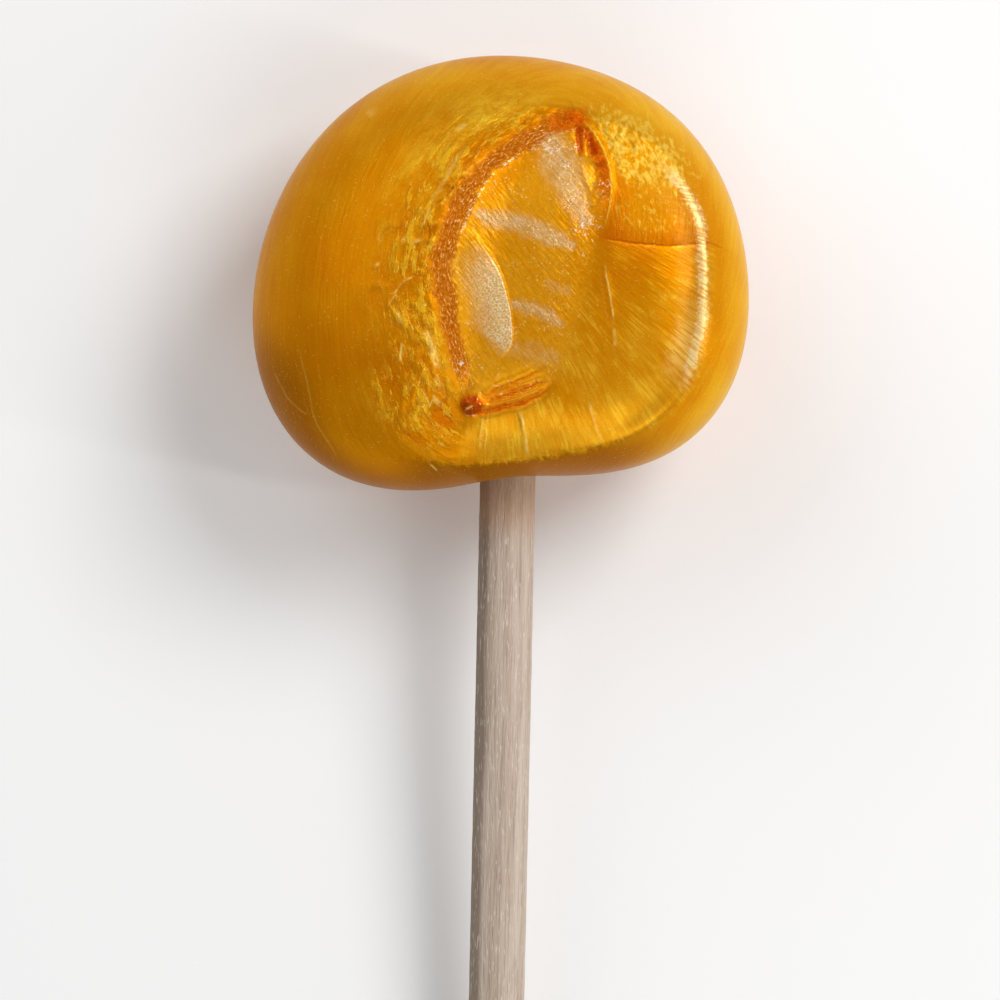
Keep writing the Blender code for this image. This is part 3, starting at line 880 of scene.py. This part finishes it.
class Sugar(Nodes):
    """The sugar's nodes, with the masks, the fibres and the grains that several of its layers share."""

    def __init__(self):
        super().__init__("pulled_sugar")
        self.head, self.crease = self.attribute("head", "Vector"), self.attribute("flow_crease", "Vector")
        self.fan, self.floor, self.red = self.attribute("fan"), self.attribute("floor"), self.attribute("red")
        self.wrinkled, self.beaten = self.attribute("wrinkled"), self.attribute("beaten")
        self.torn, self.glint_spot = self.attribute("torn"), self.attribute("glint_spot")
        self.flake = self.attribute("flake")
        self.painted_reflection = self.times(self.attribute("painted_reflection"), self.remap(self.red, 0.0, 1.0, 1.0, 0.1))

        flow_ring, flow_fan = self.attribute("flow_ring", "Vector"), self.attribute("flow_fan", "Vector")
        ring_fibre = self.stretched(flow_ring, (4.2, 1.2, 1.2), 4.0, 0.65)
        self.fan_fibre = self.stretched(flow_fan, (4.0, 0.5, 0.3), 3.0, 0.6)
        floor_fibre = self.stretched(self.attribute("flow_floor", "Vector"), (5.0, 1.0, 0.3), 3.0, 0.6)
        self.fibre = self.blend(self.floor, self.blend(self.fan, ring_fibre, self.fan_fibre), floor_fibre)
        self.fibre_share = self.remap(self.most(self.fan, self.beaten), 0.0, 1.0, 1.0, 0.4)
        self.hairs = self.stretched(flow_fan, (9.0, 0.5, 0.3), 2.0, 0.6)
        self.streaks = self.stretched(flow_fan, (1.3, 0.45, 0.0), 2.0, 0.5)

        self.crumb = self.noise(self.head, 3.2, 3.0, 0.7)
        self.long_crumb = self.stretched(self.crease, (2.6, 7.0, 0.0), 3.0, 0.7)
        self.speck = self.noise(self.head, 5.0, 1.0, 0.5)
        self.cluster = self.noise(self.head, 0.8, 1.0, 0.5)
        # The foil and the flecks are bumps, and painted highlights in the colour.
        crinkle = self.stretched(self.crease, (0.55, 1.2, 0.0), 4.0, 0.65)
        self.foil = self.times(self.wrinkled, self.remap(crinkle, 0.50, 0.60))
        flecks = self.remap(self.stretched(self.crease, (1.8, 3.8, 0.0), 2.0, 0.6), 0.58, 0.70)
        self.flecks = self.times(self.wrinkled, self.times(flecks, self.remap(crinkle, 0.44, 0.56)))

    def frayed(self, name, width):
        """The distance stored under a name, frayed by the crumbs."""
        return self.plus(self.attribute(name), self.remap(self.crumb, 0.3, 0.7, -width, width))


def amber(n):
    """The bare sugar: deep amber to yellow by the fibres, its own tone and painted light and shade, lighter on
    the wrinkles' crests as a painted highlight, and orange on the scar's floor.
    """
    patch = n.noise(n.head, 0.16, 2.0, 0.5)
    grain = n.noise(n.head, 7.0, 2.0, 0.6)
    streaky = n.times(n.remap(n.streaks, 0.48, 0.62), n.remap(n.hairs, 0.4, 0.6, 0.3, 1.0))
    tone = n.times(n.fibre_share, n.remap(n.fibre, 0.25, 0.75, -0.075, 0.075))
    for change in (
        n.remap(patch, 0.3, 0.7, 0.42, 0.58),
        n.remap(grain, 0.25, 0.75, -0.05, 0.05),
        n.times(n.fan, n.remap(n.hairs, 0.35, 0.7, -0.05, 0.10)),
        n.times(n.times(n.fan, streaky), 0.20),
        # Painted light and shade, with the sugar's own golden tone.
        n.times(n.attribute("golden_tone_and_painted_light"), 0.28),
        # Painted highlight: lighter along the wrinkles' thin crests.
        n.times(n.attribute("crest"), n.remap(n.crumb, 0.3, 0.7, 0.3, 0.65)),
        n.times(n.wrinkled, n.remap(n.crumb, 0.35, 0.65, -0.08, 0.04)),
        n.times(n.floor, n.remap(n.crumb, 0.35, 0.65, -0.07, 0.09)),
    ):
        tone = n.plus(tone, change)
    ramp = n.add("ValToRGB", {0: tone})
    stops = ramp.node.color_ramp.elements
    stops[0].position, stops[0].color = 0.0, (0.60, 0.130, 0.0008, 1.0)
    stops[1].position, stops[1].color = 1.0, (0.87, 0.49, 0.024, 1.0)
    stops.new(0.5).color = (0.69, 0.255, 0.0012, 1.0)
    return n.mix(n.times(n.floor, 0.3), ramp, (0.88, 0.32, 0.002))


def painted_shade_at_foot(n, colour):
    """Painted shade: dark amber below the shoulder, where the sugar turns to face down, up to an edge frayed by
    the fibres.
    """
    fringe = n.plus(n.attribute("outside"), n.remap(n.fan_fibre, 0.3, 0.7, -0.18, 0.18))
    fringe = n.plus(fringe, n.remap(n.crumb, 0.3, 0.7, -0.12, 0.12))
    foot = n.times(n.attribute("painted_foot_shade"), n.remap(fringe, -0.4, 0.15))
    return n.mix(n.times(foot, 0.96), colour, (0.37, 0.120, 0.0004))


def painted_wrinkle_highlights(n, colour):
    """Painted highlights on the wrinkles: thin golden lines, patches like crinkled foil and bright flecks."""
    folds_line = n.line(n.stretched(n.crease, (0.30, 1.1, 0.0), 1.0, 0.4), 0.5, 0.022)
    small_line = n.line(n.stretched(n.crease, (0.75, 2.2, 0.0), 1.0, 0.4), 0.54, 0.03)
    lines = n.most(folds_line, n.times(small_line, 0.35))
    lines = n.times(lines, n.times(n.wrinkled, n.remap(n.cluster, 0.48, 0.6)))
    colour = n.mix(n.times(lines, 0.25), colour, (1.0, 0.62, 0.05))
    colour = n.mix(n.times(n.foil, 0.6), colour, (0.90, 0.52, 0.02))
    return n.mix(n.times(n.flecks, 0.75), colour, (0.98, 0.66, 0.10))


def torn_sugar(n, colour):
    """The crumbling torn band, the deep orange folds, kept bright partly as painted light through the sugar,
    and the knot.
    """
    torn_colour = n.mix(n.remap(n.long_crumb, 0.35, 0.62), (0.47, 0.105, 0.0012), (0.60, 0.165, 0.006))
    torn_colour = n.mix(n.remap(n.long_crumb, 0.52, 0.62), torn_colour, (0.84, 0.38, 0.07))
    colour = n.mix(n.times(n.torn, 0.9), colour, torn_colour)
    # The deep orange is the sugar's own; in the folds and on the wall right of the scar it is kept bright as
    # painted light through the sugar.
    red_colour = n.mix(n.remap(n.crumb, 0.35, 0.7), (0.62, 0.078, 0.0008), (0.80, 0.19, 0.003))
    colour = n.mix(n.red, colour, red_colour)
    return n.mix(n.times(n.attribute("knot"), 0.75), colour, (0.36, 0.045, 0.003))


def painted_reflections_and_flake(n, colour):
    """The painted reflections on the scar's floor, and the flake's pale crumbs, brightened partly as a painted
    sheen.
    """
    # Painted reflection: pale beige bands on the scar's floor.
    painted_reflection_colour = n.mix(n.remap(n.fibre, 0.35, 0.65), (0.62, 0.33, 0.08), (0.74, 0.48, 0.24))
    colour = n.mix(n.times(n.painted_reflection, 0.85), colour, painted_reflection_colour)
    # The flake: pale crumbs, partly a painted sheen.
    crumbs = n.noise(n.head, 6.5, 2.0, 0.6)
    flake_colour = n.mix(n.remap(crumbs, 0.45, 0.62), (0.99, 0.70, 0.31), (1.0, 0.88, 0.60))
    return n.mix(n.times(n.flake, n.remap(crumbs, 0.36, 0.60, 0.2, 0.85)), colour, flake_colour)


def thin_lines(n, colour):
    """Painted highlights on the raised lines, on the lip at the scar's right and under the crack, and painted
    shade in the sunken lines and the crack.
    """
    # Painted highlight along the raised lines.
    bright = n.times(n.attribute("bright"), n.line(n.attribute("bright_across"), 0.0, 1.2))
    bright = n.times(bright, n.remap(n.crumb, 0.35, 0.55, 0.5, 1.0))
    colour = n.mix(n.times(bright, 0.85), colour, (0.98, 0.71, 0.17))
    # Painted shade in the sunken lines and the crack.
    dark = n.times(n.attribute("dark"), n.line(n.attribute("dark_across"), 0.0, 1.3))
    crack_away, crack_ends = n.frayed("crack_away", 0.04), n.attribute("crack_ends")
    crack = n.times(crack_ends, n.line(crack_away, 0.0, 0.13))
    colour = n.mix(n.times(n.most(dark, crack), 0.8), colour, (0.42, 0.085, 0.0012))
    # Painted highlight on the lip and on the lit side under the crack.
    lip = n.times(n.attribute("lip_ends"), n.line(n.frayed("lip_away", 0.05), 0.0, 0.10))
    painted_light_under_crack = n.times(crack_ends, n.line(crack_away, -0.16, 0.1))
    painted_light_under_crack = n.times(painted_light_under_crack, n.remap(n.cluster, 0.5, 0.65, 0.0, 0.5))
    return n.mix(n.times(n.most(lip, painted_light_under_crack), 0.8), colour, (1.0, 0.56, 0.05))


def painted_dab_highlights(n, colour):
    """Painted highlights: golden dabs on the beaten patch, lighter on their tops."""
    small_dab = n.stretched(n.attribute("flow_dab", "Vector"), (3.4, 1.8, 1.0), 2.0, 0.5)
    dab = n.plus(n.times(n.attribute("dabs"), 0.4), n.remap(small_dab, 0.2, 0.8, -0.6, 0.6))
    dab = n.plus(dab, n.remap(n.beaten, 0.1, 1.0, -0.42, 0.14))
    gold = n.times(n.remap(n.beaten, 0.0, 0.7), n.remap(dab, -0.35, 0.25, 0.3, 1.0))
    colour = n.mix(gold, colour, (0.70, 0.345, 0.006))
    painted_dab_highlight = n.times(n.remap(n.beaten, 0.0, 0.25), n.remap(dab, -0.25, 0.7, 0.0, 0.75))
    return n.mix(painted_dab_highlight, colour, (0.88, 0.57, 0.09))


def painted_ridge_highlight(n, colour):
    """A painted highlight on the crest of the shoulder at the right, crossed by fine marks, and a painted sheen
    inside it.
    """
    away = n.plus(n.attribute("ridge_away"), n.remap(n.crumb, 0.2, 0.8, -0.3, 0.3))
    marks = n.times(n.remap(n.hairs, 0.38, 0.58, 0.3, 0.95), n.attribute("ridge_ends"))
    sheen = n.times(n.times(n.line(away, -0.9, 1.8), n.attribute("painted_ridge_sheen")), marks)
    colour = n.mix(sheen, colour, (1.0, 0.66, 0.17))
    ridge_highlight = n.times(n.times(n.line(away, -0.18, 0.55), 0.8), marks)
    return n.mix(ridge_highlight, colour, (1.0, 0.79, 0.38))


def glints(n, colour):
    """Painted glints: specks in the skin, and the sparkle of the torn sugar, the glint spots, the pale bands
    and the flake, and along the torn band's edge.
    """
    sparkle = n.times(n.times(n.floor, 0.5), n.remap(n.cluster, 0.45, 0.62))
    sparkle = n.plus(n.times(n.torn, 0.7), sparkle)
    sparkle = n.most(sparkle, n.times(n.painted_reflection, 0.6))
    sparkle = n.maths("MAXIMUM", sparkle, n.flake, clamp=True)
    glint = n.times(sparkle, n.remap(n.blend(n.torn, n.speck, n.long_crumb), 0.61, 0.69))
    glint = n.most(glint, n.times(n.glint_spot, n.remap(n.crumb, 0.55, 0.62)))
    dashes = n.remap(n.stretched(n.crease, (2.6, 0.6, 0.0), 1.0, 0.5), 0.48, 0.56)
    chain = n.line(n.frayed("chain_away", 0.12), 0.0, 0.07)
    chain = n.times(chain, n.times(dashes, n.attribute("crease_ends")))
    colour = n.mix(n.remap(n.speck, 0.66, 0.74, 0.0, 0.3), colour, (1.0, 0.62, 0.10))
    glint_colour = n.mix(n.most(n.torn, n.glint_spot), (1.0, 0.76, 0.34), (1.0, 0.82, 0.62))
    return n.mix(n.times(n.most(glint, chain), 0.85), colour, glint_colour)


def sugar_bumps(n):
    """The fibres, crumbs, hairs and foil that are too fine for the mesh."""
    torn_bits = n.plus(n.most(n.torn, n.times(n.glint_spot, 0.4)), n.times(n.painted_reflection, 0.6))
    torn_bits = n.plus(torn_bits, n.times(n.most(n.wrinkled, n.beaten), 0.5))
    crumbs = n.times(n.minus(n.blend(n.torn, n.crumb, n.long_crumb), 0.5), torn_bits)
    normal = n.bump(n.times(n.minus(n.fibre, 0.5), n.fibre_share), 0.5, 0.0001)
    normal = n.bump(crumbs, 0.8, 0.0002, normal)
    normal = n.bump(n.times(n.minus(n.hairs, 0.5), n.fan), 0.25, 0.00006, normal)
    return n.bump(n.most(n.foil, n.flecks), 0.6, 0.00012, normal)


SUGAR_LAYERS = (
    painted_shade_at_foot, painted_wrinkle_highlights, torn_sugar, painted_reflections_and_flake, thin_lines, painted_dab_highlights, painted_ridge_highlight, glints,
)


def sugar_material():
    """Amber pulled sugar: fibrous satin, deep orange in the folds, pale and sparkling on the scar by painted
    reflections and glints, with painted light and shade.
    """
    n = Sugar()
    colour = amber(n)
    for layer in SUGAR_LAYERS:
        colour = layer(n, colour)
    smooth = n.most(n.times(n.glint_spot, 0.3), n.times(n.torn, 0.6))
    n.put(n.shader.inputs, {
        "Base Color": colour,
        "Roughness": n.blend(smooth, 0.30, 0.16),
        "Metallic": n.remap(n.attribute("satin"), 0.0, 1.0, 0.0, 0.34),
        "Specular IOR Level": 0.02,
        "Specular Tint": (1.0, 0.60, 0.10, 1.0),
        "Subsurface Weight": 0.5,
        "Subsurface Radius": (1.0, 0.35, 0.06),
        "Subsurface Scale": 0.0012,
        "Normal": sugar_bumps(n),
    })
    return n.material


def stick_faces(segments, rings):
    """Faces, turned inwards, over the rings and then the near and the far end's middle."""
    faces = []
    start = rings * segments
    last = start - segments
    for near in range(0, last, segments):
        far = near + segments
        for j in range(segments):
            k = (j + 1) % segments
            faces.append((near + j, near + k, far + k, far + j))
    for j in range(segments):
        k = (j + 1) % segments
        faces.append((start, k, j))
        faces.append((start + 1, last + j, last + k))
    return faces


def make_stick(material):
    """The dowel: slightly uneven round its length, with raised grain and chamfered ends."""
    near, far = buried_end(), buried_end() - STICK_LENGTH
    inner = np.linspace(near - STICK_CHAMFER, far + STICK_CHAMFER, STICK_RINGS)
    lengths = np.concatenate([[near], inner, [far]])
    radii = np.full(len(lengths), STICK_RADIUS)
    radii[[0, -1]] = STICK_RADIUS - STICK_CHAMFER
    turn = np.linspace(0.0, 2.0 * math.pi, STICK_SEGMENTS, endpoint=False)
    y, t = np.meshgrid(lengths, turn, indexing="ij")
    arc = t * STICK_RADIUS
    wrap = np.cos(t) * 3.0, np.sin(t) * 3.0
    grain = noise(wrap[0] * 2.3 + 7.0 * noise(y * 0.02, 0.0, 50.0), wrap[1] * 2.3 + y * 0.12, 51.0)
    fuzz = noise(arc * 3.4, y * 0.55, 52.0)
    radius = radii[:, None] + 0.018 * grain + 0.022 * fuzz - 0.02
    rings = np.stack([radius * np.sin(t), y, radius * np.cos(t)], axis=2).reshape(-1, 3)
    points = np.vstack([rings, [(0.0, near, 0.0)], [(0.0, far, 0.0)]])
    row = placed(points, STICK_TO_ROW)
    stick = new_piece("wooden_stick", row, stick_faces(STICK_SEGMENTS, len(lengths)), material)
    stick.data.set_sharp_from_angle(angle=math.radians(50.0))
    # Painted shade: the side of the stick away from the light is painted darker.
    boundary = -0.62 + 0.1 * noise(points[:, 1] * 0.12, 0.0, 53.0)
    painted_shade_side = between(points[:, 0] / STICK_RADIUS, boundary + 0.1, boundary - 0.12)
    # Painted light: the stick is warmed near the head, as by light through the sugar.
    painted_sugar_light = between(points[:, 1], -22.0, -18.5)
    add_masks(stick, {"stick": points, "painted_shade_side": painted_shade_side, "painted_sugar_light": painted_sugar_light})
    return stick


def birch_material():
    """Bare birch: pinkish beige with fine lengthwise grain, darker streaks and pale raised fibres."""
    n = Nodes("birch")
    place = n.attribute("stick", "Vector")
    streak = n.stretched(place, (1.1, 0.04, 1.1), 3.0, 0.6)
    lines = n.stretched(place, (6.0, 0.22, 6.0), 3.0, 0.6)
    fibres = n.stretched(place, (7.5, 1.1, 7.5), 1.0, 0.5)
    colour = n.mix(n.remap(streak, 0.35, 0.65), (0.50, 0.39, 0.305), (0.62, 0.505, 0.415))
    colour = n.mix(n.remap(lines, 0.45, 0.75, 0.0, 0.5), colour, (0.26, 0.185, 0.13))
    # Painted shade down the side away from the light.
    colour = n.mix(n.times(n.attribute("painted_shade_side"), 0.75), colour, (0.19, 0.135, 0.09))
    colour = n.mix(n.remap(fibres, 0.61, 0.70, 0.0, 0.6), colour, (0.74, 0.63, 0.53))
    # Painted warm light near the head.
    colour = n.mix(n.times(n.attribute("painted_sugar_light"), 0.45), colour, (0.52, 0.27, 0.12))
    n.put(n.shader.inputs, {
        "Base Color": colour,
        "Roughness": n.remap(lines, 0.3, 0.7, 0.55, 0.8),
        "Specular IOR Level": 0.3,
        "Normal": n.bump(fibres, 0.7, 0.00012, n.bump(lines, 0.6, 0.0001)),
    })
    return n.material


def make_floor():
    """A plain pale floor, far larger than the lollipop."""
    side = FLOOR_SIDE / 2.0
    corners = [(-side, -side, 0.0), (side, -side, 0.0), (side, side, 0.0), (-side, side, 0.0)]
    mesh = bpy.data.meshes.new("floor")
    mesh.from_pydata(corners, [], [(0, 1, 2, 3)])
    floor = bpy.data.objects.new("floor", mesh)
    bpy.context.scene.collection.objects.link(floor)
    n = Nodes("floor")
    looks = {"Base Color": (0.97, 0.97, 0.97, 1.0), "Roughness": 0.9, "Specular IOR Level": 0.1}
    n.put(n.shader.inputs, looks)
    mesh.materials.append(n.material)
    return floor


def face_point(u, v, w):
    """A point of the head frame, in metres in the row frame."""
    return (HEAD_TO_ROW @ Vector((u, v, w))) * MM


def add_camera():
    """Looks square onto the face from a long way off, with a frame a little over 80 mm wide."""
    data = bpy.data.cameras.new("camera")
    data.sensor_width = 36.0
    data.lens = data.sensor_width * VIEW_DISTANCE / VIEW_WIDTH
    data.clip_start = 0.01
    camera = bpy.data.objects.new("camera", data)
    bpy.context.scene.collection.objects.link(camera)
    turn = HEAD_TO_ROW.to_3x3().to_4x4()
    camera.matrix_world = Matrix.Translation(face_point(*VIEW_CENTRE, VIEW_DISTANCE)) @ turn
    bpy.context.scene.camera = camera


def add_light(name, place, size, power):
    """A soft rectangular light that looks at the head. Its place is in metres."""
    data = bpy.data.lights.new(name, "AREA")
    data.shape = "RECTANGLE"
    data.size, data.size_y = size
    data.energy = power
    light = bpy.data.objects.new(name, data)
    bpy.context.scene.collection.objects.link(light)
    light.location = place
    light.rotation_mode = "QUATERNION"
    aim = Vector(LIGHT_AIM) - Vector(place)
    light.rotation_quaternion = aim.to_track_quat("-Z", "Y")


def add_surroundings():
    """The even light of the studio, its lamps, and plain colours in the render."""
    world = bpy.data.worlds.new("studio")
    world.use_nodes = True
    background = world.node_tree.nodes["Background"]
    background.inputs["Color"].default_value = (1.0, 1.0, 1.0, 1.0)
    background.inputs["Strength"].default_value = WORLD_STRENGTH
    bpy.context.scene.world = world
    for light in LIGHTS:
        add_light(*light)
    bpy.context.scene.view_settings.view_transform = "Standard"
    bpy.context.scene.view_settings.look = "None"


def main():
    """Dresses the two nodes, and sets them in the studio."""
    sugar, birch = sugar_material(), birch_material()
    head = make_head(sugar)
    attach(head, "root")
    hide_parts("candy_head")
    stick = make_stick(birch)
    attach(stick, "root")
    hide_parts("stick")
    make_floor()
    add_camera()
    add_surroundings()


main()
